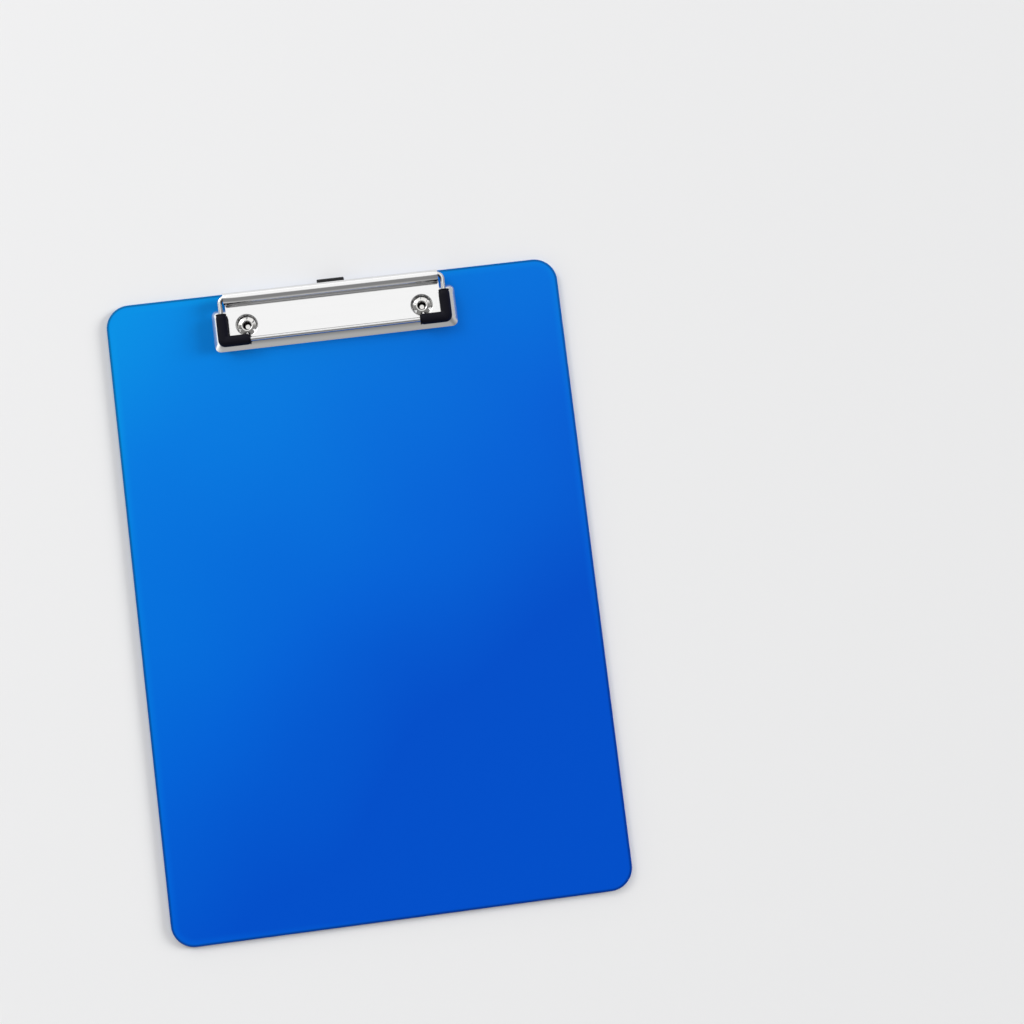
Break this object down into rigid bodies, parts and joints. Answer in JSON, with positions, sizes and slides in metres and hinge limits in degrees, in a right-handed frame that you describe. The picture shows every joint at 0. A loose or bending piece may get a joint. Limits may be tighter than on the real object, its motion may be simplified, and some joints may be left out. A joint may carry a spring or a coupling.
{
  "type": "clipboard",
  "caption": "Flat translucent blue writing board with round corners, a low sprung wire clip along its top edge that grips paper, and a hanging tab that slides out from under the clip.",
  "frame": {"origin": "centre of the board's flat back face", "axes": "+X to the right seen from the front, +Y along the board towards the clip, +Z out of the board's writing face"},
  "size_m": [0.225, 0.3162, 0.0103],
  "materials": {
    "board_plastic": "translucent azure to deep blue moulded plastic, satin-smooth",
    "plated_steel": "bright nickel plating on pressed sheet steel",
    "plated_wire": "bright nickel plating on drawn spring wire",
    "sleeve_rubber": "matt black rubber",
    "eyelet_steel": "bright nickel plating, slightly worn where it was clinched",
    "hanger_plastic": "black moulded plastic, satin"
  },
  "bodies": {
    "base": {"board": "board_plastic", "clip_plate": "plated_steel", "eyelet_left": "eyelet_steel", "eyelet_right": "eyelet_steel"},
    "bail": {"bail_wire": "plated_wire", "corner_sleeve_left": "sleeve_rubber", "corner_sleeve_right": "sleeve_rubber"},
    "hanger": {"hanger": "hanger_plastic"}
  },
  "joints": [
    {"name": "bail_hinge", "type": "hinge", "parent": "base", "child": "bail", "pos_m": [0, 0.1536, 0.0072], "axis": [-1, 0, 0], "range_deg": [0, 90], "stiffness_Nm_per_rad": 0.08, "springref_deg": -57.3},
    {"name": "hanger_slide", "type": "slide", "parent": "base", "child": "hanger", "axis": [0, 1, 0], "range_m": [0, 0.014]}
  ]
}
